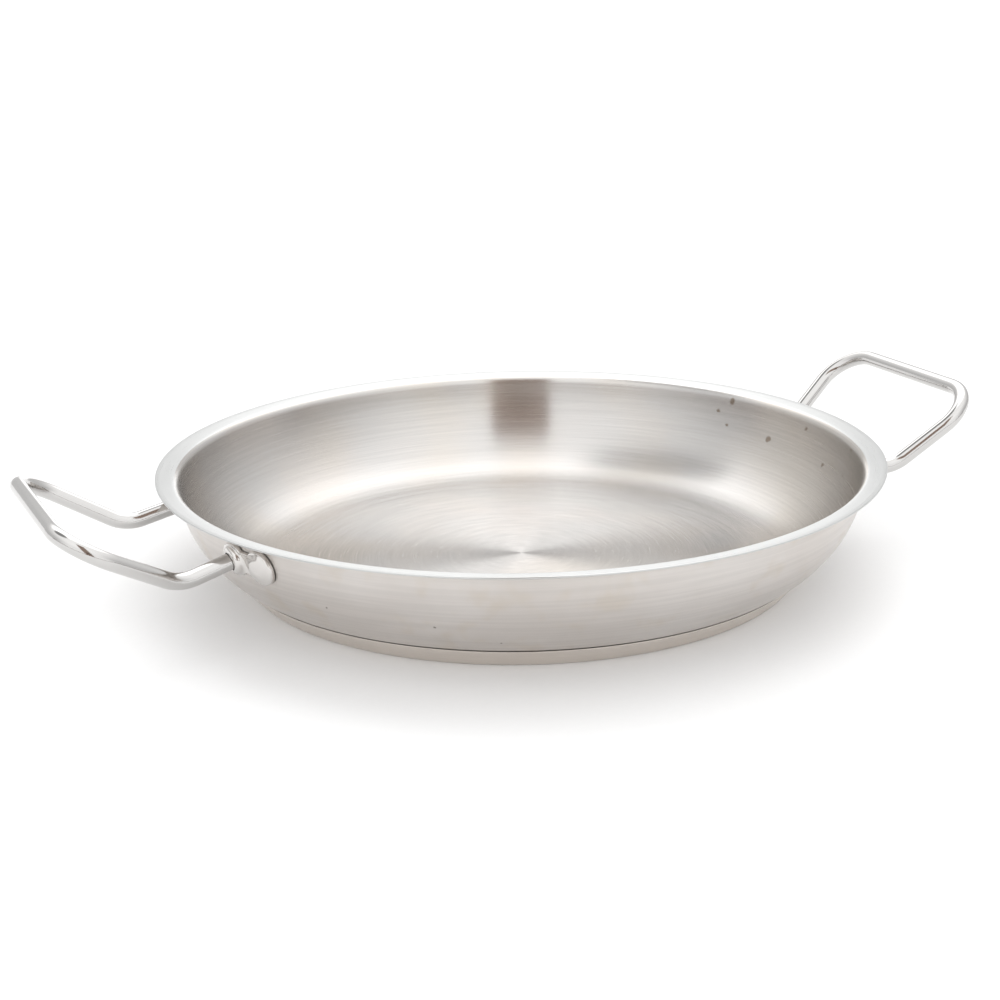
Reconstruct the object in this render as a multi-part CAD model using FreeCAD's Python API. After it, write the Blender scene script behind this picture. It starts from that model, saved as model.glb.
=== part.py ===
"""Two-handled stainless-steel pan: a drawn shell on a bonded sandwich base, with two bent-rod loops.

All sizes are in millimetres. The origin is the centre of the underside, +Z is up and the two
handle loops point along +X (right) and -X (left).
"""

import FreeCAD, Part
import math
import os

V = FreeCAD.Vector

# ---- shell -------------------------------------------------------------------------------------
rim_radius = 150.0  # outer edge of the pouring rim
rim_height = 47.3  # top of that edge above the table
sheet = 0.8  # thickness of the drawn sheet
rim_run = 6.5  # horizontal width of the straight part of the rim
rim_slope = 8.0  # degrees, the rim rises outwards
rim_bend_radius = 2.6  # outside radius where the wall turns into the rim
wall_spread = 20.1  # how far the wall leans out between the heel and the rim bend
wall_top_angle = 86.0  # degrees above horizontal at the top of the wall
heel_height = 8.8  # where the corner curve hands over to the wall curve
floor_height = 3.6  # underside of the flat floor above the table

# ---- sandwich base -----------------------------------------------------------------------------
cap_sheet = 0.6  # thickness of the steel cap
foot_step = 8.7  # the flat foot ends this far inside the heel
cap_corner_radius = 3.0
cap_flank_angle = 49.5  # degrees above horizontal of the cap's side
seam_gap = 0.5  # open seam between the lip of the cap and the shell
seam_depth = 1.6  # how far the core stays back from the lip

# ---- handle loops ------------------------------------------------------------------------------
rod_diameter = 6.5
socket_half_spacing = 38.2  # from the middle of the loop to a socket, at the wall
socket_drop = 11.6  # socket axis below the top of the rim, at the wall
leg_length = 23.6  # from the wall to the corner point of the lower bend
leg_droop = 14.5  # degrees, the legs fall outwards
leg_splay = 4.75  # degrees, the legs spread apart
loop_length = 49.0  # from the lower bend to the grip, seen from the side
grip_half_width = 51.0  # from the middle of the loop to the corner point of the grip
lower_bend_radius = 16.4
grip_bend_radius = 16.5
rise_left = 29.8  # degrees, how steeply the left loop stands up
rise_right = 37.4  # degrees, the right loop is set a little steeper

# ---- brackets ----------------------------------------------------------------------------------
plate_length = 30.8
plate_height = 14.6
plate_sheet = 1.5
plate_gap = 0.3  # the weld projections hold the plate this far off the wall
plate_edge_radius = 0.5
boss_radius = 6.0  # at its mouth
boss_flare = 0.3  # the boss is this much wider inside the plate
boss_reach = 4.0  # mouth of the socket, from the wall along the rod
boss_edge_radius = 1.1
socket_clearance = 0.4  # radial gap round the rod
rod_seat = 1.9  # end of the rod, from the wall along the rod
weld_radius = 1.5
weld_spacing = 8.0  # between the weld projections along the plate

rod_radius = rod_diameter / 2
socket_radius = rod_radius + socket_clearance


def rad(angle):
    return math.radians(angle)


def turn(radius, start, end):
    """Radial and vertical travel along an arc whose heading goes from start up to end."""
    across = radius * (math.sin(rad(end)) - math.sin(rad(start)))
    up = radius * (math.cos(rad(start)) - math.cos(rad(end)))
    return across, up


# ---- the shell's outline, worked out from the rim inwards ---------------------------------------
bend_across, bend_up = turn(rim_bend_radius, rim_slope, wall_top_angle)
wall_top_radius = rim_radius - rim_run - bend_across
wall_top_height = (
    rim_height - sheet * math.cos(rad(rim_slope)) - rim_run * math.tan(rad(rim_slope)) - bend_up
)
heel_radius = wall_top_radius - wall_spread
chord_angle = math.degrees(math.atan2(wall_top_height - heel_height, wall_spread))
heel_angle = 2 * chord_angle - wall_top_angle
unit_across, _ = turn(1.0, heel_angle, wall_top_angle)
wall_radius = wall_spread / unit_across
corner_radius = (heel_height - floor_height) / (1 - math.cos(rad(heel_angle)))
floor_radius = heel_radius - corner_radius * math.sin(rad(heel_angle))
wall_centre_r = heel_radius - wall_radius * math.sin(rad(heel_angle))
wall_centre_z = heel_height + wall_radius * math.cos(rad(heel_angle))
foot_radius = heel_radius - foot_step


def wall_radius_at(height, offset=0.0):
    """Radius of the outside of the wall, or of a surface offset outwards from it, at a height."""
    reach = wall_radius + offset
    return wall_centre_r + math.sqrt(reach**2 - (height - wall_centre_z) ** 2)


def flat(r, z):
    return V(r, 0, z)


def segment(a, b):
    return Part.LineSegment(a, b).toShape()


class Outline:
    """Walks along an outline in the r-z plane and keeps its edges."""

    def __init__(self, r, z, heading, offset):
        self.point = flat(r - offset * math.sin(rad(heading)), z + offset * math.cos(rad(heading)))
        self.heading = heading
        self.offset = offset
        self.edges = []

    def to(self, target):
        self.edges.append(segment(self.point, target))
        self.point = target

    def ahead(self, length):
        step = flat(math.cos(rad(self.heading)), math.sin(rad(self.heading))) * length
        self.to(self.point + step)

    def arc(self, radius, heading):
        """Turns to a new heading; the radius is that of the outline with no offset."""
        side = 1 if heading > self.heading else -1
        own_radius = radius - side * self.offset
        centre = self.point + self.normal(self.heading) * (side * own_radius)
        middle = centre - self.normal((self.heading + heading) / 2) * (side * own_radius)
        end = centre - self.normal(heading) * (side * own_radius)
        self.edges.append(Part.Arc(self.point, middle, end).toShape())
        self.point = end
        self.heading = heading

    @staticmethod
    def normal(heading):
        return flat(-math.sin(rad(heading)), math.cos(rad(heading)))


def shell_outline(offset):
    """Floor, corner, wall, rim bend and rim; a positive offset goes into the bowl."""
    line = Outline(0, floor_height, 0, offset)
    line.ahead(floor_radius)
    line.arc(corner_radius, heel_angle)
    line.arc(wall_radius, wall_top_angle)
    line.arc(rim_bend_radius, rim_slope)
    line.ahead(rim_run / math.cos(rad(rim_slope)))
    return line


def revolved(edges):
    face = Part.Face(Part.Wire(Part.__sortEdges__(edges)))
    solid = face.revolve(V(0, 0, 0), V(0, 0, 1), 360)
    if solid.Volume < 0:
        solid.reverse()
    return solid


# ---- the shell ---------------------------------------------------------------------------------
def make_shell():
    outside = shell_outline(0.0)
    inside = shell_outline(sheet)
    ends = [
        segment(outside.point, inside.point),
        segment(flat(0, floor_height), flat(0, floor_height + sheet)),
    ]
    return revolved(outside.edges + inside.edges + ends)


def shell_filled(offset):
    """Everything above the shell's outside, or above a surface offset outwards from it."""
    line = shell_outline(-offset)
    top = line.point.z + 1.0
    line.to(flat(line.point.x, top))
    line.to(flat(0, top))
    line.to(flat(0, floor_height - offset))
    return revolved(line.edges)


# ---- the base ----------------------------------------------------------------------------------
def base_block(inset, top):
    """What lies inside the cap's outer surface, less an inset, up to a level."""
    line = Outline(0, 0, 0, inset)
    line.ahead(foot_radius)
    line.arc(cap_corner_radius, cap_flank_angle)
    climb = top - line.point.z
    line.ahead(climb / math.sin(rad(cap_flank_angle)))
    line.to(flat(0, top))
    line.to(flat(0, inset))
    return revolved(line.edges)


def make_cap():
    block = base_block(0.0, heel_height).cut(base_block(cap_sheet, heel_height + 1.0))
    return block.cut(shell_filled(seam_gap))


def lip_radius():
    """Radius where the cap's flank reaches the open seam."""
    flank = Outline(0, 0, 0, 0.0)
    flank.ahead(foot_radius)
    flank.arc(cap_corner_radius, cap_flank_angle)
    flank.ahead(heel_height / math.sin(rad(cap_flank_angle)))
    seam = Part.Wire(shell_outline(-seam_gap).edges[:3])
    crossing = flank.edges[-1].section(seam)
    return crossing.Vertexes[0].X


def make_core():
    block = base_block(cap_sheet, heel_height).cut(shell_filled(0.0))
    limit = Part.makeCylinder(lip_radius() - seam_depth, heel_height)
    return block.common(limit)


# ---- places on the wall ------------------------------------------------------------------------
socket_height = rim_height - socket_drop
socket_wall_radius = wall_radius_at(socket_height)
socket_reach = math.sqrt(socket_wall_radius**2 - socket_half_spacing**2)
leg_level = math.cos(rad(leg_droop))
leg_direction = V(
    leg_level * math.cos(rad(leg_splay)),
    leg_level * math.sin(rad(leg_splay)),
    -math.sin(rad(leg_droop)),
)
socket_point = V(socket_reach, socket_half_spacing, socket_height)


def on_side(shape, side, lateral):
    """Moves a shape made for the +X, +Y socket to another side of the pan."""
    placed = shape.copy()
    if lateral < 0:
        placed = placed.mirror(V(0, 0, 0), V(0, 1, 0))
    if side < 0:
        placed = placed.mirror(V(0, 0, 0), V(1, 0, 0))
    return placed


# ---- handle loops ------------------------------------------------------------------------------
def rounded_path(points, radii):
    """Straight runs through the points, joined by tangent arcs at the inner points."""
    edges = []
    at = points[0]
    for before, corner, after, radius in zip(points, points[1:], points[2:], radii):
        back = (before - corner).normalize()
        on = (after - corner).normalize()
        half = back.getAngle(on) / 2
        tangent = radius / math.tan(half)
        start = corner + back * tangent
        end = corner + on * tangent
        bisector = (back + on).normalize()
        middle = corner + bisector * (radius / math.sin(half) - radius)
        edges.append(segment(at, start))
        edges.append(Part.Arc(start, middle, end).toShape())
        at = end
    edges.append(segment(at, points[-1]))
    return Part.Wire(edges)


def make_handle(rise):
    """One loop on the +X side, from the end in one socket to the end in the other."""
    end = socket_point + leg_direction * rod_seat
    bend = socket_point + leg_direction * leg_length
    grip = V(
        bend.x + loop_length * math.cos(rad(rise)),
        grip_half_width,
        bend.z + loop_length * math.sin(rad(rise)),
    )
    half = [end, bend, grip]
    other = [V(p.x, -p.y, p.z) for p in reversed(half)]
    radii = [lower_bend_radius, grip_bend_radius, grip_bend_radius, lower_bend_radius]
    path = rounded_path(half + other, radii)
    section = Part.Wire(Part.makeCircle(rod_radius, end, leg_direction))
    return path.makePipeShell([section], True, True)


# ---- brackets ----------------------------------------------------------------------------------
def plate_place():
    """Middle of the plate on the wall and the outward direction there."""
    front = socket_point + leg_direction * (plate_gap + plate_sheet)
    run = (plate_length - plate_height) / 2
    angle = math.atan2(front.y, front.x) + run / socket_wall_radius
    outward = V(math.cos(angle), math.sin(angle), 0)
    middle = outward * socket_wall_radius + V(0, 0, socket_height)
    return middle, outward


def oval_prism(inset, depth):
    """Round-ended bar through the wall that gives the plate its outline."""
    middle, outward = plate_place()
    along = V(-outward.y, outward.x, 0)
    radius = plate_height / 2 - inset
    start = middle - outward * depth
    ends = [start + along * (k * (plate_length - plate_height) / 2) for k in (-1, 1)]
    bars = [Part.makeCylinder(radius, 2 * depth, p, outward) for p in ends]
    corner = ends[0] - V(0, 0, radius)
    wide = along * (plate_length - plate_height)
    tall = V(0, 0, 2 * radius)
    web = Part.Face(Part.makePolygon([corner, corner + wide, corner + wide + tall, corner + tall, corner]))
    return bars[0].fuse([bars[1], web.extrude(outward * 2 * depth)]).removeSplitter()


def wall_layer(inner, outer):
    """Ring between two surfaces offset outwards from the wall, as tall as the bracket needs."""
    reach = max(plate_height / 2, boss_radius + boss_flare) + 1.5
    low = socket_height - reach
    high = socket_height + reach
    rings = []
    for offset in (inner, outer):
        start = flat(wall_radius_at(low, offset), low)
        middle = flat(wall_radius_at(socket_height, offset), socket_height)
        end = flat(wall_radius_at(high, offset), high)
        rings.append((start, Part.Arc(start, middle, end).toShape(), end))
    caps = [segment(rings[0][k], rings[1][k]) for k in (0, 2)]
    return revolved([rings[0][1], rings[1][1]] + caps)


def boss_blank(radius_back, radius_front, start, stop):
    base = socket_point + leg_direction * start
    if radius_back == radius_front:
        return Part.makeCylinder(radius_front, stop - start, base, leg_direction)
    return Part.makeCone(radius_back, radius_front, stop - start, base, leg_direction)


def rounded_rim(shape, centre, radius, fillet):
    """Rounds the circular edge of a boss that lies round a centre."""
    found = []
    for edge in shape.Edges:
        circle = isinstance(edge.Curve, Part.Circle) and abs(edge.Curve.Radius - radius) < 0.01
        if circle and (edge.Curve.Center - centre).Length < 0.01:
            found.append(edge)
    return shape.makeFillet(fillet, found)


def rounded_plate():
    """Oval plate that follows the wall, with the outer edge rounded."""
    plate = wall_layer(plate_gap, plate_gap + plate_sheet).common(oval_prism(0.0, 9.0))
    outer = max(plate.Faces, key=lambda face: math.hypot(*face.CenterOfMass[:2]))
    return plate.makeFillet(plate_edge_radius, outer.Edges)


def make_bracket():
    plate = rounded_plate()
    boss = boss_blank(boss_radius + boss_flare, boss_radius, -4.0, boss_reach)
    mouth = socket_point + leg_direction * boss_reach
    boss = rounded_rim(boss, mouth, boss_radius, boss_edge_radius)
    boss = boss.cut(shell_filled(plate_gap))
    bore = boss_blank(socket_radius, socket_radius, -6.0, boss_reach + 2.0)
    return plate.fuse(boss).removeSplitter().cut(bore)


def make_rod_weld():
    """Weld plug that closes the back of a socket behind the end of the rod."""
    plug = boss_blank(socket_radius, socket_radius, -6.0, rod_seat)
    return plug.cut(shell_filled(plate_gap))


def make_plate_welds():
    """Three small weld projections between the plate and the wall, beside the socket."""
    middle, outward = plate_place()
    along = V(-outward.y, outward.x, 0)
    layer = wall_layer(0.0, plate_gap)
    spots = []
    for column, row in ((0.2, 0.0), (1.2, 0.5), (1.2, -0.5)):
        place = middle + along * (column * weld_spacing) + V(0, 0, row * weld_spacing)
        pin = Part.makeCylinder(weld_radius, 18.0, place - outward * 9.0, outward)
        spots.append(layer.common(pin))
    return spots


# ---- output ------------------------------------------------------------------------------------
def one_solid(shape):
    solids = shape.Solids
    if len(solids) != 1:
        raise ValueError("expected one solid, found %d" % len(solids))
    return solids[0]


def main():
    os.makedirs("parts", exist_ok=True)
    bracket = one_solid(make_bracket())
    rod_weld = one_solid(make_rod_weld())
    plate_welds = [one_solid(spot) for spot in make_plate_welds()]
    loops = {"left": one_solid(make_handle(rise_left)), "right": one_solid(make_handle(rise_right))}
    parts = {
        "pan_shell": one_solid(make_shell()),
        "base_core": one_solid(make_core()),
        "base_cap": one_solid(make_cap()),
    }
    rod_welds = []
    bracket_welds = []
    for name, side in (("left", -1), ("right", 1)):
        parts["handle_" + name] = on_side(loops[name], side, 1)
        for place, lateral in (("front", -1), ("rear", 1)):
            parts["bracket_%s_%s" % (name, place)] = on_side(bracket, side, lateral)
            rod_welds.append(on_side(rod_weld, side, lateral))
            bracket_welds.extend(on_side(spot, side, lateral) for spot in plate_welds)
    parts["rod_end_welds"] = Part.makeCompound(rod_welds)
    parts["bracket_welds"] = Part.makeCompound(bracket_welds)
    for name, shape in parts.items():
        shape.exportStep("parts/%s.step" % name)
        print(name, len(shape.Solids), "solids,", round(shape.Volume, 1), "mm3", shape.isValid())


main()
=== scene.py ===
"""Two-handled stainless-steel pan: brushed bowl, satin pouring rim, sandwich base and bent-rod loops."""

import math

import bpy
from mathutils import Matrix, Vector


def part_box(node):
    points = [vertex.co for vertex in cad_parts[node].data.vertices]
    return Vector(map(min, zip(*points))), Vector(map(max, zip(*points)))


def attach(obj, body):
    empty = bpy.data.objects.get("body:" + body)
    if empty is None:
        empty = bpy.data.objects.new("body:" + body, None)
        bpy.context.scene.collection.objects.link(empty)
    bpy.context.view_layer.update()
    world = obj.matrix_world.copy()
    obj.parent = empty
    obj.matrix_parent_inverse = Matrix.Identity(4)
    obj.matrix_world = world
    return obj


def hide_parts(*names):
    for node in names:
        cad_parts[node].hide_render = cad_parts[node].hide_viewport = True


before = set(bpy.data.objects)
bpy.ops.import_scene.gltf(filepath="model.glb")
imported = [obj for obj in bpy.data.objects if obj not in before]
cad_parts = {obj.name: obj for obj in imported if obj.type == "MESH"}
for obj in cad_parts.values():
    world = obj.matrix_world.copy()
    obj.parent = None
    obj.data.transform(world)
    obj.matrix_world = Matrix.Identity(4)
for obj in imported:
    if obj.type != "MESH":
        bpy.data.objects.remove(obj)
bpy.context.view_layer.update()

MM = 0.001

# ---- sizes of the pan, in metres and degrees ------------------------------------------------------
RIM_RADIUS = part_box("pan_shell")[1].x
RIM_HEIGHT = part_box("pan_shell")[1].z
FLOOR_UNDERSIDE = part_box("pan_shell")[0].z
SHEET = 0.8 * MM
RIM_RUN = 6.5 * MM
RIM_SLOPE = 8.0
RIM_BEND = 2.6 * MM
WALL_SPREAD = 20.1 * MM
WALL_TOP_ANGLE = 86.0
HEEL_HEIGHT = 8.8 * MM
LIP_ROUND = 0.3 * MM

FOOT_STEP = 8.7 * MM
CAP_SHEET = 0.6 * MM
CAP_CORNER = 3.0 * MM
CAP_FLANK_ANGLE = 49.5
CAP_LIP_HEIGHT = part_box("base_cap")[1].z
CAP_EDGE_ROUND = 0.45 * CAP_SHEET

ROD_RADIUS = 3.25 * MM
SOCKET_HALF_SPACING = 38.2 * MM
SOCKET_DROP = 11.6 * MM
ROD_SEAT = 1.9 * MM
LEG_LENGTH = 23.6 * MM
LEG_DROOP = 14.5
LEG_SPLAY = 4.75
LOOP_LENGTH = 49.0 * MM
GRIP_HALF_WIDTH = 51.0 * MM
LOWER_BEND = 16.4 * MM
GRIP_BEND = 16.5 * MM
RISE_LEFT = 29.8
RISE_RIGHT = 37.4

BOSS_RADIUS = 6.0 * MM
BOSS_REACH = 3.0 * MM
BOSS_ROUND = 2.0 * MM
BORE_RADIUS = 3.65 * MM
BORE_LENGTH = 16.0 * MM
FLANGE_RADIUS = 6.9 * MM
FLANGE_RISE = 1.5 * MM
PAD_RADIUS = 7.1 * MM
PAD_SPACING = 15.3 * MM
PAD_RISE = 1.8 * MM
PAD_ROUND = 0.8 * MM
PAD_CROWN = 0.9 * MM
NECK_HEIGHT = 9.0 * MM
NECK_RISE = 1.25 * MM
WALL_GAP = 0.3 * MM
# The bracket's blocks start this far inside the wall and are then cut back to its gap.
SUNK = 4.0 * MM

# ---- how finely the pieces are modelled -----------------------------------------------------------
MERGE_DISTANCE = 1e-6
TURNING_STEPS = 256
DISC_RUNS = 10
RIM_RUNS = 3
FLANK_RUNS = 2
HEEL_STEPS = 10
WALL_STEPS = 18
RIM_BEND_STEPS = 8
CAP_CORNER_STEPS = 6
EDGE_STEPS = 3
ROD_SIDES = 40
ROD_BEND_STEPS = 14
BLOCK_SIDES = 64
BLOCK_EDGE_STEPS = 4
SHARP_ANGLE = 40.0
BRACKET_SHARP_ANGLE = 35.0
BRACKET_GRAIN = 0.25 * MM
BRACKET_SOFTENING = 0.5
BRACKET_SOFTENING_PASSES = 8
FORMER_BELOW = 12.0 * MM
FORMER_ABOVE = 9.0 * MM
FORMER_RUNS = 2
FORMER_STEPS = 16


def rad(angle):
    return math.radians(angle)


def arc_travel(radius, start, end):
    """Level and upright travel along an arc whose heading goes from start up to end."""
    level = radius * (math.sin(rad(end)) - math.sin(rad(start)))
    upright = radius * (math.cos(rad(start)) - math.cos(rad(end)))
    return level, upright


# The wall is one arc from the heel to the bend under the rim, and the corner of the floor is another.
bend_across, bend_up = arc_travel(RIM_BEND, RIM_SLOPE, WALL_TOP_ANGLE)
lip_height = SHEET * math.cos(rad(RIM_SLOPE))
wall_top_radius = RIM_RADIUS - RIM_RUN - bend_across
wall_top_height = RIM_HEIGHT - lip_height - RIM_RUN * math.tan(rad(RIM_SLOPE)) - bend_up
heel_radius = wall_top_radius - WALL_SPREAD
chord_angle = math.degrees(math.atan2(wall_top_height - HEEL_HEIGHT, WALL_SPREAD))
heel_angle = 2 * chord_angle - WALL_TOP_ANGLE
wall_curve = WALL_SPREAD / arc_travel(1.0, heel_angle, WALL_TOP_ANGLE)[0]
corner_curve = (HEEL_HEIGHT - FLOOR_UNDERSIDE) / (1 - math.cos(rad(heel_angle)))
floor_radius = heel_radius - corner_curve * math.sin(rad(heel_angle))
foot_radius = heel_radius - FOOT_STEP
wall_centre_r = heel_radius - wall_curve * math.sin(rad(heel_angle))
wall_centre_z = HEEL_HEIGHT + wall_curve * math.cos(rad(heel_angle))


def wall_radius_at(height, offset=0.0):
    """Radius of the outside of the wall at a height, or of a surface this far outside it."""
    return wall_centre_r + math.sqrt((wall_curve + offset) ** 2 - (height - wall_centre_z) ** 2)


def wall_point(angle, height, offset=0.0):
    """A point on the outside of the wall, or this far outside it."""
    radius = wall_radius_at(height, offset)
    return radius * math.cos(rad(angle)), radius * math.sin(rad(angle)), height


# ---- working in the modeller ----------------------------------------------------------------------
def put_down():
    """Leaves edit mode with nothing selected."""
    if bpy.context.object and bpy.context.object.mode != "OBJECT":
        bpy.ops.object.mode_set(mode="OBJECT")
    bpy.ops.object.select_all(action="DESELECT")


def pick(*pieces):
    """Selects only these pieces; the last one is the active one."""
    put_down()
    for piece in pieces:
        piece.select_set(True)
    bpy.context.view_layer.objects.active = pieces[-1]


def apply_modifier(piece, kind, **settings):
    pick(piece)
    modifier = piece.modifiers.new(kind.title(), kind)
    for name, value in settings.items():
        setattr(modifier, name, value)
    bpy.ops.object.modifier_apply(modifier=modifier.name)


def in_place(piece, name):
    """Puts a piece's turn, size and place into its mesh and names it."""
    pick(piece)
    bpy.ops.object.transform_apply(location=True, rotation=True, scale=True)
    piece.name = piece.data.name = name
    return piece


def select_faces(piece, chosen):
    """In edit mode, selects the faces whose centre and normal pass a test."""
    bpy.ops.mesh.select_all(action="DESELECT")
    bpy.ops.object.mode_set(mode="OBJECT")
    for face in piece.data.polygons:
        face.select = chosen(face.center, face.normal)
    bpy.ops.object.mode_set(mode="EDIT")
    bpy.ops.mesh.select_mode(type="FACE")


def turn_faces_out():
    """Points the faces of the mesh in edit mode outwards, then leaves edit mode."""
    bpy.ops.mesh.select_all(action="SELECT")
    bpy.ops.mesh.normals_make_consistent(inside=False)
    bpy.ops.object.mode_set(mode="OBJECT")


def close_seams():
    """Merges points that meet in the mesh in edit mode, then points its faces outwards."""
    bpy.ops.mesh.select_all(action="SELECT")
    bpy.ops.mesh.remove_doubles(threshold=MERGE_DISTANCE)
    turn_faces_out()


def smooth(piece, angle=SHARP_ANGLE):
    """Shades a piece smooth, except over edges sharper than the angle."""
    pick(piece)
    bpy.ops.object.shade_smooth_by_angle(angle=rad(angle))


class Outline:
    """Draws an outline in the x-z plane, one run after another, in edit mode."""

    def __init__(self, r, z, heading):
        put_down()
        bpy.ops.mesh.primitive_plane_add(size=MM)
        self.piece = bpy.context.object
        bpy.ops.object.mode_set(mode="EDIT")
        bpy.ops.mesh.select_mode(type="VERT")
        bpy.ops.mesh.select_all(action="SELECT")
        bpy.ops.mesh.merge(type="CENTER")
        bpy.ops.transform.translate(value=(r, 0, z))
        self.point = Vector((r, 0, z))
        self.heading = heading

    @staticmethod
    def normal(heading):
        return Vector((-math.sin(rad(heading)), 0, math.cos(rad(heading))))

    def ahead(self, length, runs=1):
        """Draws straight on, in this many equal runs."""
        step = Vector((math.cos(rad(self.heading)), 0, math.sin(rad(self.heading)))) * (length / runs)
        for _ in range(runs):
            bpy.ops.mesh.extrude_region_move(TRANSFORM_OT_translate={"value": step})
            self.point = self.point + step

    def arc(self, radius, heading, steps):
        """Draws an arc that ends with a new heading."""
        side = 1 if heading > self.heading else -1
        centre = self.point + self.normal(self.heading) * (side * radius)
        bpy.ops.mesh.spin(steps=steps, angle=rad(heading - self.heading), center=centre, axis=(0, 1, 0))
        self.point = centre - self.normal(heading) * (side * radius)
        self.heading = heading

    def turned(self, name):
        """Turns the outline once round the pan's axis."""
        bpy.ops.mesh.select_all(action="SELECT")
        bpy.ops.mesh.spin(steps=TURNING_STEPS, angle=math.tau, center=(0, 0, 0), axis=(0, 0, 1))
        close_seams()
        return in_place(self.piece, name)


# ---- shader work ----------------------------------------------------------------------------------
SPOT_GRAIN = 700.0
SPOT_EDGE = 0.35
AXIS_GUARD = 1e-6


class Signal:
    """The output of a shader node; arithmetic on it adds Math nodes to the same finish."""

    def __init__(self, finish, socket):
        self.finish = finish
        self.socket = socket

    def part(self, name):
        """Another output of the same node."""
        return Signal(self.finish, self.socket.node.outputs[name])

    def maths(self, operation, *values):
        return self.finish.node("ShaderNodeMath", {"operation": operation}, values)

    def __add__(self, other):
        return self.maths("ADD", self, other)

    def __mul__(self, other):
        return self.maths("MULTIPLY", self, other)

    def __sub__(self, other):
        return self.maths("SUBTRACT", self, other)

    def __rsub__(self, other):
        return self.maths("SUBTRACT", other, self)

    def __truediv__(self, other):
        return self.maths("DIVIDE", self, other)

    def __rtruediv__(self, other):
        return self.maths("DIVIDE", other, self)

    def __pow__(self, other):
        return self.maths("POWER", self, other)

    def __rpow__(self, other):
        return self.maths("POWER", other, self)

    __radd__ = __add__
    __rmul__ = __mul__

    def clamped(self, low=0.0, high=1.0):
        return self.finish.node("ShaderNodeClamp", {}, (self, low, high))

    def above(self, start, end):
        """0 up to start, 1 from end on, smooth between."""
        settings = {"interpolation_type": "SMOOTHSTEP"}
        return self.finish.node("ShaderNodeMapRange", settings, (self, start, end, 0.0, 1.0))


class Finish:
    """The nodes of one finish."""

    def __init__(self, tree):
        self.tree = tree
        tree.nodes.clear()

    def node(self, kind, settings=(), values=(), output=0):
        """One node: its settings first, then the values or links of its inputs, by place or by name."""
        made = self.tree.nodes.new(kind)
        for name, value in dict(settings).items():
            setattr(made, name, value)
        pairs = values.items() if isinstance(values, dict) else enumerate(values)
        for place, value in pairs:
            if isinstance(value, Signal):
                self.tree.links.new(value.socket, made.inputs[place])
            else:
                made.inputs[place].default_value = value
        return Signal(self, made.outputs[output]) if made.outputs else None

    def place(self):
        return self.node("ShaderNodeTexCoord", output="Object")

    def split(self, vector):
        x = self.node("ShaderNodeSeparateXYZ", {}, (vector,))
        return x, x.part("Y"), x.part("Z")

    def joined(self, x, y, z):
        return self.node("ShaderNodeCombineXYZ", {}, (x, y, z))

    def vectors(self, operation, values, output=0):
        return self.node("ShaderNodeVectorMath", {"operation": operation}, values, output)

    def noise(self, vector, scale, detail=2.0):
        return self.node("ShaderNodeTexNoise", {}, {"Vector": vector, "Scale": scale, "Detail": detail})

    def blend(self, share, first, second, how="MIX"):
        """Mixes two colours by a share, or lays the second over the first another way."""
        first, second = ((*c, 1.0) if isinstance(c, tuple) else c for c in (first, second))
        settings = {"data_type": "RGBA", "blend_type": how}
        return self.node("ShaderNodeMix", settings, {0: share, 6: first, 7: second}, 2)

    def spot(self, place, centre, radius, edge):
        """1 inside a small round spot, fading to 0 over its edge."""
        away = self.vectors("DISTANCE", (place, centre), "Value")
        return 1 - away.above(radius - edge, radius + edge)

    def spots(self, marks, wobble, offset=0.0):
        """Several small spots with uneven outlines, on the outside of the wall or this far outside it."""
        place = self.place()
        speckle = self.noise(place, SPOT_GRAIN).part("Color")
        uneven = self.vectors("SUBTRACT", (speckle, (0.5, 0.5, 0.5)))
        uneven = self.vectors("SCALE", {"Vector": uneven, "Scale": wobble * MM})
        place = self.vectors("ADD", (place, uneven))
        total = 0.0
        for angle, height, radius in marks:
            centre = wall_point(angle, height * MM, offset)
            total = total + self.spot(place, centre, radius * MM, radius * SPOT_EDGE * MM)
        return total.clamped()


def new_finish(name):
    material = bpy.data.materials.new(name)
    material.use_nodes = True
    return material, Finish(material.node_tree)


def steel(finish, colour, roughness, relief, bump, depth, gloss=()):
    """Metal whose colour, roughness and fine relief vary; gloss holds what is the same all over."""
    settings = {"Strength": bump, "Distance": depth, "Height": relief}
    normal = finish.node("ShaderNodeBump", {}, settings)
    values = {"Base Color": colour, "Roughness": roughness, "Metallic": 1.0, "Normal": normal}
    shader = finish.node("ShaderNodeBsdfPrincipled", {}, {**values, **dict(gloss)})
    finish.node("ShaderNodeOutputMaterial", {}, {"Surface": shader})


def drawn_out(amount):
    """Gloss whose reflections are drawn out across the circular lines, by a quarter turn."""
    return {"Anisotropic": amount, "Anisotropic Rotation": 0.25}


def circle_lines(finish, fine, reach, detail=2.0):
    """Noise drawn out along circles round the pan's axis; fine is how many lines to a metre."""
    x, y, z = finish.split(finish.place())
    radius = (x * x + y * y) ** 0.5 + AXIS_GUARD
    along = finish.joined(x / radius * reach, y / radius * reach, (radius + z) * fine)
    return finish.noise(along, 1.0, detail)


# ---- finishes -------------------------------------------------------------------------------------
WHITE = (1.0, 1.0, 1.0)
BRUSH_DEPTH = 0.02 * MM
POLISH_DEPTH = 0.05 * MM
# Heights of the painted shade line along the seam just above the base cup's lip.
SEAM_SHADE_BOTTOM = 8.4 * MM
SEAM_SHADE_TOP = 9.0 * MM
STAIN_STRENGTH = 0.8

# Each mark is its angle round the pan, then its height on the wall and its radius in millimetres.
WALL_STAINS = (
    (20.0, 43.0, 1.5),
    (23.0, 37.5, 1.0),
    (20.5, 32.0, 0.8),
    (9.5, 30.5, 1.4),
    (-0.5, 40.5, 1.0),
    (-9.0, 29.5, 0.9),
    (-19.5, 43.0, 0.9),
    (-18.5, 31.0, 0.6),
)
OUTSIDE_PITS = (
    (-146.5, 24.5, 0.45),
    (-128.5, 22.0, 0.5),
    (-118.5, 14.5, 0.4),
)


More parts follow.
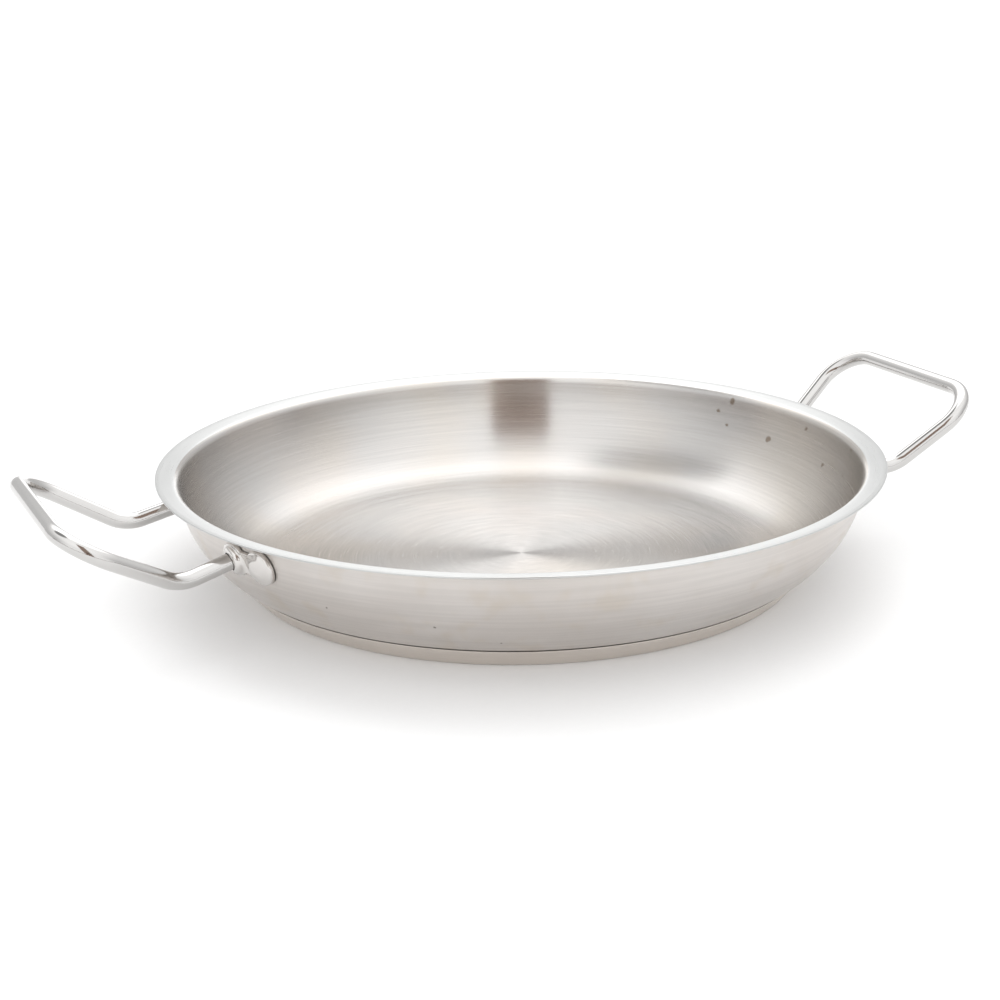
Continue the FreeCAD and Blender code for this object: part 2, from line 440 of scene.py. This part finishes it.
def brushed_bowl():
    """Inside of the bowl: circular brushing, faint tarnish and a few small stains."""
    material, finish = new_finish("brushed_bowl_steel")
    place = finish.place()
    lines = circle_lines(finish, 2600.0, 3.5, 3.0)
    bands = circle_lines(finish, 420.0, 1.6)
    cloud = finish.noise(place, 22.0, 3.0)
    tarnish = finish.noise(place, 11.0)
    colour = finish.blend(cloud.above(0.35, 0.7), (0.61, 0.595, 0.58), (0.63, 0.60, 0.575))
    colour = finish.blend(tarnish.above(0.5, 0.72) * 0.5, colour, (0.64, 0.59, 0.52))
    streaks = bands.above(0.35, 0.65) * 0.3 + lines.above(0.35, 0.65) * 0.7
    shade = finish.blend(streaks, (0.90, 0.90, 0.90), WHITE)
    colour = finish.blend(1.0, colour, shade, "MULTIPLY")
    stains = finish.spots(WALL_STAINS, 2.2, -SHEET) * STAIN_STRENGTH
    colour = finish.blend(stains, colour, (0.26, 0.20, 0.15))
    roughness = 0.20 + lines * 0.08 + cloud * 0.03
    relief = lines * 0.7 + bands * 0.3
    steel(finish, colour, roughness, relief, 0.12, BRUSH_DEPTH, drawn_out(1.0))
    return material


def satin_rim():
    """The pouring rim: an even satin, a little greyer than the bowl."""
    material, finish = new_finish("satin_rim_steel")
    lines = circle_lines(finish, 3000.0, 6.0, 3.0)
    cloud = finish.noise(finish.place(), 60.0)
    colour = finish.blend(cloud * 0.5 + lines * 0.5, (0.55, 0.555, 0.55), (0.62, 0.625, 0.62))
    steel(finish, colour, 0.24 + lines * 0.1, lines, 0.08, BRUSH_DEPTH, drawn_out(0.4))
    return material


def satin_outside():
    """Outside of the bowl: satin with faint stains, a few pits and painted shade along the seam above the
    base.
    """
    material, finish = new_finish("satin_outside_steel")
    place = finish.place()
    height = finish.split(place)[2]
    lines = circle_lines(finish, 2600.0, 3.5, 3.0)
    bands = circle_lines(finish, 500.0, 2.0)
    cloud = finish.noise(place, 26.0, 3.0)
    stain = finish.noise(place, 75.0)
    colour = finish.blend(cloud.above(0.35, 0.7), (0.64, 0.605, 0.575), (0.68, 0.65, 0.625))
    colour = finish.blend(stain.above(0.52, 0.72) * 0.35, colour, (0.60, 0.53, 0.44))
    # Painted shade: a near-black band on the wall where the seam above the base cup lies in shade.
    seam_shade = 1 - height.above(SEAM_SHADE_BOTTOM, SEAM_SHADE_TOP)
    colour = finish.blend(seam_shade, colour, (0.05, 0.04, 0.035))
    shade = finish.blend(bands.above(0.35, 0.65), (0.94, 0.94, 0.94), WHITE)
    colour = finish.blend(1.0, colour, shade, "MULTIPLY")
    pits = finish.spots(OUTSIDE_PITS, 0.8) * STAIN_STRENGTH
    colour = finish.blend(pits, colour, (0.16, 0.14, 0.12))
    relief = lines * 0.6 + bands * 0.4
    steel(finish, colour, 0.3 + lines * 0.12, relief, 0.1, BRUSH_DEPTH, drawn_out(0.7))
    return material


def turned_base():
    """The base cup: fine lines as from a lathe, duller and warmer than the bowl."""
    material, finish = new_finish("turned_base_steel")
    lines = circle_lines(finish, 2200.0, 4.0, 3.0)
    bands = circle_lines(finish, 600.0, 3.0)
    colour = finish.blend(bands * 0.6 + lines * 0.4, (0.66, 0.61, 0.56), (0.78, 0.74, 0.70))
    steel(finish, colour, 0.42 + lines * 0.12, lines, 0.12, BRUSH_DEPTH)
    return material


def polished(name, tone, dullness, grain):
    """Polished steel with a slight haze; grain is how many patches of haze to a metre."""
    material, finish = new_finish(name)
    place = finish.place()
    haze = finish.noise(place, grain, 3.0)
    drag = finish.noise(place, grain * 9.0)
    colour = finish.blend(haze, tone, tuple(share * 1.05 for share in tone))
    roughness = dullness + haze * 0.05 + drag * 0.03
    steel(finish, colour, roughness, haze * 0.7 + drag * 0.3, 0.05, POLISH_DEPTH)
    return material


def dull_metal(name, dark, light, dullness):
    """Unpolished metal with a fine mottle between two tones."""
    material, finish = new_finish(name)
    mottle = finish.noise(finish.place(), 900.0, 4.0)
    colour = finish.blend(mottle, dark, light)
    steel(finish, colour, dullness + mottle * 0.2, mottle, 0.3, POLISH_DEPTH)
    return material


BOWL = brushed_bowl()
RIM = satin_rim()
OUTSIDE = satin_outside()
BASE = turned_base()
ROD = polished("polished_rod_steel", (0.58, 0.57, 0.56), 0.07, 120.0)
BRACKET = polished("polished_bracket_steel", (0.66, 0.64, 0.62), 0.08, 160.0)
# Painted shade: the aluminium core's edge is coloured near black to stand for the shade in the seam under
# the cap.
SEAM_SHADED_CORE = dull_metal("aluminium_core_painted_shade", (0.03, 0.028, 0.025), (0.07, 0.065, 0.06), 0.5)
WELD = dull_metal("weld_steel", (0.16, 0.14, 0.13), (0.3, 0.28, 0.26), 0.45)


# ---- the bowl -------------------------------------------------------------------------------------
RIM_SHARE_OF_BEND = 0.55
FACES_DOWN = -0.2


def make_bowl():
    """The sheet from the middle of the floor up to the lip and back down its other side."""
    line = Outline(0, FLOOR_UNDERSIDE, 0)
    line.ahead(floor_radius, DISC_RUNS)
    line.arc(corner_curve, heel_angle, HEEL_STEPS)
    line.arc(wall_curve, WALL_TOP_ANGLE, WALL_STEPS)
    line.arc(RIM_BEND, RIM_SLOPE, RIM_BEND_STEPS)
    flat_run = RIM_RUN / math.cos(rad(RIM_SLOPE)) - LIP_ROUND
    line.ahead(flat_run, RIM_RUNS)
    line.arc(LIP_ROUND, RIM_SLOPE + 90, EDGE_STEPS)
    line.ahead(SHEET - 2 * LIP_ROUND)
    line.arc(LIP_ROUND, RIM_SLOPE + 180, EDGE_STEPS)
    line.ahead(flat_run, RIM_RUNS)
    line.arc(RIM_BEND + SHEET, WALL_TOP_ANGLE + 180, RIM_BEND_STEPS)
    line.arc(wall_curve - SHEET, heel_angle + 180, WALL_STEPS)
    line.arc(corner_curve - SHEET, 180, HEEL_STEPS)
    line.ahead(floor_radius, DISC_RUNS)
    bowl = line.turned("bowl")
    for material in (BOWL, RIM, OUTSIDE):
        bowl.data.materials.append(material)
    rim_start = wall_top_radius + bend_across * RIM_SHARE_OF_BEND

    def on_rim(centre, normal):
        return math.hypot(centre.x, centre.y) > rim_start and normal.z > FACES_DOWN

    def on_outside(centre, normal):
        leans_out = normal.z < 0 and normal.xy.dot(centre.xy) > 0
        return normal.z < FACES_DOWN or (leans_out and centre.z < wall_top_height)

    bpy.ops.object.mode_set(mode="EDIT")
    for index, chosen in ((1, on_rim), (2, on_outside)):
        bowl.active_material_index = index
        select_faces(bowl, chosen)
        bpy.ops.object.material_slot_assign()
    smooth(bowl)
    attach(bowl, "root")
    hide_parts("pan_shell")


# ---- the base -------------------------------------------------------------------------------------
def make_base_cup():
    """The thin cup pressed round the bottom, with a rounded edge at the seam."""
    line = Outline(0, 0, 0)
    line.ahead(foot_radius, DISC_RUNS)
    line.arc(CAP_CORNER, CAP_FLANK_ANGLE, CAP_CORNER_STEPS)
    flank = (CAP_LIP_HEIGHT - line.point.z) / math.sin(rad(CAP_FLANK_ANGLE)) - CAP_EDGE_ROUND
    line.ahead(flank, FLANK_RUNS)
    line.arc(CAP_EDGE_ROUND, CAP_FLANK_ANGLE + 90, EDGE_STEPS)
    line.ahead(CAP_SHEET - 2 * CAP_EDGE_ROUND)
    line.arc(CAP_EDGE_ROUND, CAP_FLANK_ANGLE + 180, EDGE_STEPS)
    line.ahead(flank, FLANK_RUNS)
    line.arc(CAP_CORNER - CAP_SHEET, 180, CAP_CORNER_STEPS)
    line.ahead(foot_radius, DISC_RUNS)
    cup = line.turned("base_cup")
    cup.data.materials.append(BASE)
    smooth(cup)
    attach(cup, "root")
    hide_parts("base_cap")


# ---- handle loops ---------------------------------------------------------------------------------
socket_height = RIM_HEIGHT - SOCKET_DROP
socket_wall_radius = wall_radius_at(socket_height)
socket_across = math.sqrt(socket_wall_radius**2 - SOCKET_HALF_SPACING**2)
socket_point = Vector((socket_across, SOCKET_HALF_SPACING, socket_height))
leg_direction = Vector((
    math.cos(rad(LEG_DROOP)) * math.cos(rad(LEG_SPLAY)),
    math.cos(rad(LEG_DROOP)) * math.sin(rad(LEG_SPLAY)),
    -math.sin(rad(LEG_DROOP)),
))


def rod_corners(rise):
    """Ends and corner points of the loop on the +X side."""
    end = socket_point + leg_direction * ROD_SEAT
    bend = socket_point + leg_direction * LEG_LENGTH
    reach = Vector((LOOP_LENGTH * math.cos(rad(rise)), 0, LOOP_LENGTH * math.sin(rad(rise))))
    grip = Vector((bend.x, GRIP_HALF_WIDTH, bend.z)) + reach
    half = [end, bend, grip]
    return half + [Vector((p.x, -p.y, p.z)) for p in reversed(half)]


def bend_rod(name, rise, side):
    """Bends a straight bar through its corners, as on a rod bender."""
    corners = [Vector((p.x * side, p.y, p.z)) for p in rod_corners(rise)]
    heading = (corners[1] - corners[0]).normalized()
    put_down()
    bpy.ops.mesh.primitive_circle_add(
        vertices=ROD_SIDES,
        radius=ROD_RADIUS,
        fill_type="NGON",
        location=corners[0],
        rotation=heading.to_track_quat("Z", "Y").to_euler(),
    )
    rod = in_place(bpy.context.object, name)
    bpy.ops.object.mode_set(mode="EDIT")
    bpy.ops.mesh.select_mode(type="FACE")
    bpy.ops.mesh.select_all(action="SELECT")
    at = corners[0]
    radii = [LOWER_BEND, GRIP_BEND, GRIP_BEND, LOWER_BEND]
    for before, corner, after, radius in zip(corners, corners[1:], corners[2:], radii):
        back = (before - corner).normalized()
        on = (after - corner).normalized()
        half = back.angle(on) / 2
        start = corner + back * (radius / math.tan(half))
        centre = corner + (back + on).normalized() * (radius / math.sin(half))
        axis = back.cross(on).normalized()
        bpy.ops.mesh.extrude_region_move(TRANSFORM_OT_translate={"value": start - at})
        bpy.ops.mesh.spin(steps=ROD_BEND_STEPS, angle=math.pi - 2 * half, center=centre, axis=axis)
        at = corner + on * (radius / math.tan(half))
    bpy.ops.mesh.extrude_region_move(TRANSFORM_OT_translate={"value": corners[-1] - at})
    close_seams()
    rod.data.materials.append(ROD)
    smooth(rod)
    return rod


def make_loops():
    for name, node, rise, side in (
        ("left_loop", "handle_left", RISE_LEFT, -1),
        ("right_loop", "handle_right", RISE_RIGHT, 1),
    ):
        rod = bend_rod(name, rise, side)
        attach(rod, "root")
        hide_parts(node)


# ---- core and welds -------------------------------------------------------------------------------
def finish_hidden_metal():
    """The core and the welds keep their shapes and get duller metal; the core's edge is painted near black
    as the shade in the seam.
    """
    for node, material in (("base_core", SEAM_SHADED_CORE), ("bracket_welds", WELD), ("rod_end_welds", WELD)):
        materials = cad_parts[node].data.materials
        materials.clear()
        materials.append(material)


# ---- brackets -------------------------------------------------------------------------------------
def wall_heading_at(height, curve=wall_curve):
    """How steeply the wall, or an arc outside it, stands at a height, in radians."""
    return math.acos((wall_centre_z - height) / curve)


wall_heading = wall_heading_at(socket_height)
socket_angle = math.atan2(socket_point.y, socket_point.x)
ROUNDED_END = 0.9
FLAT_END = 0.99
CROWN_INSET = 0.3
CROWN_RISES = (0.7, 0.3)


def on_wall(along):
    """Place on the outside of the wall, this far along it from the socket, and the way out of the wall."""
    angle = socket_angle + along / socket_wall_radius
    level = Vector((math.cos(angle), math.sin(angle), 0))
    foot = level * socket_wall_radius + Vector((0, 0, socket_height))
    return foot, level * math.sin(wall_heading) - Vector((0, 0, math.cos(wall_heading)))


def round_block(radius, depth, top, direction, edge=0.0, crown=0.0):
    """A round block whose outer end is at top, with a rounded edge and a slightly crowned end."""
    put_down()
    bpy.ops.mesh.primitive_cylinder_add(
        vertices=BLOCK_SIDES,
        radius=radius,
        depth=depth,
        location=top - direction * (depth / 2),
        rotation=direction.to_track_quat("Z", "Y").to_euler(),
    )
    block = bpy.context.object
    bpy.ops.object.mode_set(mode="EDIT")
    if edge:
        select_faces(block, lambda centre, normal: normal.z > ROUNDED_END)
        bpy.ops.mesh.bevel(offset=edge, segments=BLOCK_EDGE_STEPS, affect="EDGES")
    if crown:
        select_faces(block, lambda centre, normal: normal.z > FLAT_END)
        for share in CROWN_RISES:
            bpy.ops.mesh.inset(thickness=radius * CROWN_INSET, depth=crown * share)
    bpy.ops.object.mode_set(mode="OBJECT")
    return in_place(block, "block")


def cut_away(piece, cutter):
    apply_modifier(piece, "BOOLEAN", operation="DIFFERENCE", object=cutter, solver="EXACT")
    pick(cutter)
    bpy.ops.object.delete()


def wall_former():
    """The filled shape of the wall with the small gap behind the brackets added."""
    low = socket_height - FORMER_BELOW
    high = socket_height + FORMER_ABOVE
    curve = wall_curve + WALL_GAP
    line = Outline(0, low, 0)
    line.ahead(wall_radius_at(low, WALL_GAP), FORMER_RUNS)
    line.heading = math.degrees(wall_heading_at(low, curve))
    line.arc(curve, math.degrees(wall_heading_at(high, curve)), FORMER_STEPS)
    line.heading = 180
    line.ahead(line.point.x, FORMER_RUNS)
    return line.turned("wall_former")


def press_bracket():
    """The bracket at +X, +Y: socket boss and round pad with a lower neck between them."""
    boss_foot, boss_out = on_wall(0)
    neck_foot, neck_out = on_wall(PAD_SPACING / 2)
    pad_foot, pad_out = on_wall(PAD_SPACING)
    boss_top = socket_point + leg_direction * BOSS_REACH
    boss = round_block(BOSS_RADIUS, BOSS_REACH + SUNK, boss_top, leg_direction, BOSS_ROUND)
    flange_top = boss_foot + boss_out * FLANGE_RISE
    flange = round_block(FLANGE_RADIUS, FLANGE_RISE + SUNK, flange_top, boss_out, PAD_ROUND)
    pad_top = pad_foot + pad_out * PAD_RISE
    pad = round_block(PAD_RADIUS, PAD_RISE + SUNK, pad_top, pad_out, PAD_ROUND, PAD_CROWN)
    put_down()
    bpy.ops.mesh.primitive_cube_add(
        size=1.0,
        location=neck_foot + neck_out * ((NECK_RISE - SUNK) / 2),
        rotation=neck_out.to_track_quat("Z", "Y").to_euler(),
    )
    neck = bpy.context.object
    neck.scale = (PAD_SPACING, NECK_HEIGHT, NECK_RISE + SUNK)
    in_place(neck, "neck")
    pick(boss, flange, neck, pad)
    bpy.ops.object.join()
    apply_modifier(pad, "REMESH", mode="VOXEL", voxel_size=BRACKET_GRAIN)
    apply_modifier(pad, "SMOOTH", factor=BRACKET_SOFTENING, iterations=BRACKET_SOFTENING_PASSES)
    cut_away(pad, wall_former())
    bore_top = socket_point + leg_direction * (BORE_LENGTH / 2)
    cut_away(pad, round_block(BORE_RADIUS, BORE_LENGTH, bore_top, leg_direction))
    smooth(pad, BRACKET_SHARP_ANGLE)
    return pad


def make_brackets():
    """Four copies of the one pressed bracket, mirrored to their places."""
    pressed = press_bracket()
    pressed.data.materials.clear()
    pressed.data.materials.append(BRACKET)
    for end, side in (("left", -1), ("right", 1)):
        for face, way in (("front", -1), ("rear", 1)):
            pick(pressed)
            bpy.ops.object.duplicate()
            bracket = bpy.context.object
            bracket.scale = (side, way, 1)
            in_place(bracket, f"{end}_{face}_bracket")
            bpy.ops.object.mode_set(mode="EDIT")
            turn_faces_out()
            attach(bracket, "root")
            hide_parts(f"bracket_{end}_{face}")
    pick(pressed)
    bpy.ops.object.delete()


# ---- floor, light and camera ----------------------------------------------------------------------
# The room stands square to the camera, which looks about this far to the right of +Y.
VIEW_ANGLE = 25.0
VIEW_TURN = Matrix.Rotation(-rad(VIEW_ANGLE), 4, "Z")

FLOOR_SIZE = 16.0
FLOOR_TONES = ((0.80, 0.80, 0.80), (0.82, 0.82, 0.82))
FLOOR_GLOW = 0.08

SKY_DARKEST = 0.35
SKY_BRIGHTEST = 4.0
SKY_LOW = 0.75
SKY_TOP = 1.4
FRONT_FILL = 0.7

# Each patch of sky: its way (across, away, up), inner and outer angle, and the strength it adds.
SOFTBOX = ((0, 0.55, 0.83), 18, 38, 1.15)
BACK_STRIP = ((0, 1, 0.05), 5, 15, 1.0)
GAP_BETWEEN_LIGHTS = ((-0.42, 0.20, 0.89), 8, 19, -1.9)

BROWN_CLOTH = ((0.30, 0.21, 0.17), (0.44, 0.35, 0.30))
BLACK_GLASS = ((0.01, 0.01, 0.01), (0.03, 0.03, 0.03))
DARK_ROOM = ((0.09, 0.07, 0.06), (0.16, 0.13, 0.11))

# Each card: its name, place, the point it faces, width, height and tones; -Y is towards the camera.
CARDS = (
    ("standing_card", (-0.01, -1.2, 1.0), (0, 0, 0.6), 0.54, 1.95, BROWN_CLOTH),
    ("lens_card", (0.02, -1.12, 0.39), (0, 0, 0.03), 0.2, 0.15, BLACK_GLASS),
    ("front_horizon_card", (0, -4, 0.11), (0, 0, 0.11), 8, 0.22, DARK_ROOM),
    ("left_horizon_card", (-4, -2, 0.11), (0, -2, 0.11), 4, 0.22, DARK_ROOM),
    ("right_horizon_card", (4, -2, 0.11), (0, -2, 0.11), 4, 0.22, DARK_ROOM),
)

# The lens and the sensor are in millimetres, as the camera has them.
LENS = 68.4
SENSOR_WIDTH = 36.0
NEAREST = 0.01
FARTHEST = 50.0
CAMERA_PLACE = Vector((-0.32094, -0.68825, 0.26630))
CAMERA_AHEAD = Vector((0.39326, 0.86930, -0.29943))
CAMERA_RIGHT = Vector((0.90846, -0.41754, -0.01908))


def make_floor():
    """A pale paper floor that glows faintly."""
    put_down()
    bpy.ops.mesh.primitive_plane_add(size=FLOOR_SIZE, location=(0, 0, 0))
    floor = in_place(bpy.context.object, "studio_floor")
    material, finish = new_finish("pale_paper")
    colour = finish.blend(finish.noise(finish.place(), 400.0), *FLOOR_TONES)
    shader = finish.node("ShaderNodeBsdfPrincipled", {}, {
        "Base Color": colour,
        "Roughness": 0.7,
        "Specular IOR Level": 0.2,
        "Emission Color": (1, 1, 1, 1),
        "Emission Strength": FLOOR_GLOW,
    })
    finish.node("ShaderNodeOutputMaterial", {}, {"Surface": shader})
    floor.data.materials.append(material)


def make_sky():
    """Light from all round, stronger from above and from the camera's side, with soft patches in it."""
    world = bpy.data.worlds.new("studio")
    bpy.context.scene.world = world
    world.use_nodes = True
    sky = Finish(world.node_tree)
    direction = sky.node("ShaderNodeTexCoord", output="Generated")
    values = {"Vector": direction, "Angle": rad(VIEW_ANGLE)}
    turned = sky.node("ShaderNodeVectorRotate", {"rotation_type": "Z_AXIS"}, values)
    away, up = sky.split(turned)[1:]
    height = up.clamped()
    strength = SKY_LOW + height.above(0.2, 0.9) * (SKY_TOP - SKY_LOW)
    strength = strength + (0 - away).above(0.1, 0.8) * (1 - height) * FRONT_FILL
    for way, inner, outer, added in (SOFTBOX, BACK_STRIP, GAP_BETWEEN_LIGHTS):
        near = sky.vectors("DOT_PRODUCT", (turned, Vector(way).normalized()), "Value")
        strength = strength + near.above(math.cos(rad(outer)), math.cos(rad(inner))) * added
    strength = strength.clamped(SKY_DARKEST, SKY_BRIGHTEST)
    background = sky.node("ShaderNodeBackground", {}, {"Color": (1, 1, 1, 1), "Strength": strength})
    sky.node("ShaderNodeOutputWorld", {}, {"Surface": background})


def make_camera():
    camera = bpy.data.cameras.new("camera")
    camera.lens = LENS
    camera.sensor_width = SENSOR_WIDTH
    camera.clip_start = NEAREST
    camera.clip_end = FARTHEST
    eye = bpy.data.objects.new("camera", camera)
    bpy.context.scene.collection.objects.link(eye)
    ahead = CAMERA_AHEAD.normalized()
    right = (CAMERA_RIGHT - ahead * CAMERA_RIGHT.dot(ahead)).normalized()
    up = right.cross(ahead)
    eye.matrix_world = Matrix((right, up, -ahead)).transposed().to_4x4()
    eye.location = CAMERA_PLACE
    bpy.context.scene.camera = eye


def make_card(name, place, facing, width, height, tones):
    """A card that shows only as a reflection in the steel: it casts no shadow and no soft light."""
    place = VIEW_TURN @ Vector(place)
    facing = VIEW_TURN @ Vector(facing)
    put_down()
    bpy.ops.mesh.primitive_plane_add(size=1.0, location=place)
    card = bpy.context.object
    card.scale = (width, height, 1)
    card.rotation_euler = (facing - place).to_track_quat("Z", "Y").to_euler()
    in_place(card, name)
    material, finish = new_finish(name)
    mottle = finish.noise(finish.place(), 7.0)
    colour = finish.blend(mottle.above(0.35, 0.65), *tones)
    glow = finish.node("ShaderNodeEmission", {}, {"Color": colour, "Strength": 1.0})
    finish.node("ShaderNodeOutputMaterial", {}, {"Surface": glow})
    card.data.materials.append(material)
    card.visible_camera = False
    card.visible_shadow = False
    card.visible_diffuse = False


# ---- the whole pan in its studio ------------------------------------------------------------------
make_bowl()
make_base_cup()
make_loops()
finish_hidden_metal()
make_brackets()
make_floor()
make_sky()
make_camera()
for card in CARDS:
    make_card(*card)
bpy.context.scene.view_settings.view_transform = "Standard"
